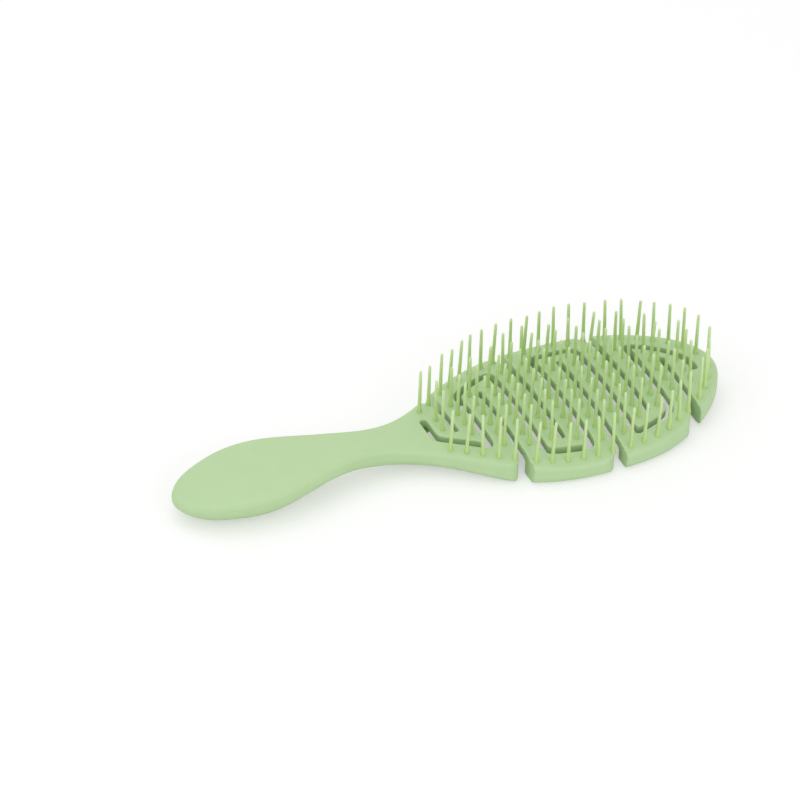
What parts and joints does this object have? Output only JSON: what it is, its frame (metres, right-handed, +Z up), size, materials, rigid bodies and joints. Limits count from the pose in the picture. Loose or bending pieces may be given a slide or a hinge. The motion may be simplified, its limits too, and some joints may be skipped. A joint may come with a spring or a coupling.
{
  "type": "detangling brush",
  "caption": "Hand brush with a flat paddle handle and an oval slotted head that flexes along its length, set with straight thin pins, for detangling hair.",
  "frame": {"origin": "under the middle of the brush's length and width, on the plane that its back rests on", "axes": "+X along the brush from handle to tip, +Y to its left, +Z up, the way the pins point"},
  "size_m": [0.2349, 0.0772, 0.032],
  "materials": {
    "body_plastic": "satin pastel green moulded plastic",
    "pin_plastic": "clearer yellow-green moulded plastic"
  },
  "bodies": {
    "handle_section": {"handle": "body_plastic", "right_shoulder_rim": "body_plastic", "right_shoulder_pins": "pin_plastic", "left_shoulder_rim": "body_plastic", "left_shoulder_pins": "pin_plastic", "bar_01": "body_plastic", "bar_01_pins": "pin_plastic", "bar_03": "body_plastic", "bar_03_pins": "pin_plastic", "hinge_web_01": "body_plastic", "hinge_web_03": "body_plastic"},
    "left_loop_1": {"left_petal_1_rim": "body_plastic", "left_petal_1_pins": "pin_plastic", "bar_02": "body_plastic", "bar_02_pins": "pin_plastic", "bar_05": "body_plastic", "bar_05_pins": "pin_plastic", "hinge_web_05": "body_plastic"},
    "left_loop_2": {"left_petal_2_rim": "body_plastic", "left_petal_2_pins": "pin_plastic", "bar_06": "body_plastic", "bar_06_pins": "pin_plastic", "bar_09": "body_plastic", "bar_09_pins": "pin_plastic"},
    "right_loop_1": {"right_petal_1_rim": "body_plastic", "right_petal_1_pins": "pin_plastic", "bar_04": "body_plastic", "bar_04_pins": "pin_plastic", "bar_07": "body_plastic", "bar_07_pins": "pin_plastic", "hinge_web_07": "body_plastic"},
    "right_loop_2": {"right_petal_2_rim": "body_plastic", "right_petal_2_pins": "pin_plastic", "bar_08": "body_plastic", "bar_08_pins": "pin_plastic", "bar_11": "body_plastic", "bar_11_pins": "pin_plastic", "hinge_web_11": "body_plastic"},
    "tip_section": {"right_tip_rim": "body_plastic", "right_tip_pins": "pin_plastic", "left_tip_rim": "body_plastic", "left_tip_pins": "pin_plastic", "bar_10": "body_plastic", "bar_10_pins": "pin_plastic", "bar_12": "body_plastic", "bar_12_pins": "pin_plastic", "hinge_web_09": "body_plastic"}
  },
  "joints": [
    {"name": "right_flex_1", "type": "hinge", "parent": "handle_section", "child": "right_loop_1", "pos_m": [0.0213, 0, 0.00901], "axis": [0, 1, 0], "range_deg": [-4, 6], "stiffness_Nm_per_rad": 1.2, "deforming": ["hinge_web_03"]},
    {"name": "right_flex_2", "type": "hinge", "parent": "right_loop_1", "child": "right_loop_2", "pos_m": [0.0597, 0, 0.00812], "axis": [0, 1, 0], "range_deg": [-4, 6], "stiffness_Nm_per_rad": 1.2, "deforming": ["hinge_web_07"]},
    {"name": "tip_flex", "type": "hinge", "parent": "right_loop_2", "child": "tip_section", "pos_m": [0.0981, 0, 0.00967], "axis": [0, 1, 0], "range_deg": [-4, 6], "stiffness_Nm_per_rad": 1.2, "deforming": ["hinge_web_11", "hinge_web_09"]},
    {"name": "left_flex_1", "type": "hinge", "parent": "handle_section", "child": "left_loop_1", "pos_m": [0.0021, 0, 0.00987], "axis": [0, 1, 0], "range_deg": [-1, 1.5], "stiffness_Nm_per_rad": 1.2, "deforming": ["hinge_web_01"]},
    {"name": "left_flex_2", "type": "hinge", "parent": "left_loop_1", "child": "left_loop_2", "pos_m": [0.0405, 0, 0.00822], "axis": [0, 1, 0], "range_deg": [-4, 6], "stiffness_Nm_per_rad": 1.2, "deforming": ["hinge_web_05"]}
  ],
  "couplings": [
    {"joint": "right_flex_2", "follows": "right_flex_1", "ratio": 1},
    {"joint": "tip_flex", "follows": "right_flex_1", "ratio": 1},
    {"joint": "left_flex_1", "follows": "right_flex_1", "ratio": 0.25},
    {"joint": "left_flex_2", "follows": "right_flex_1", "ratio": 1}
  ]
}
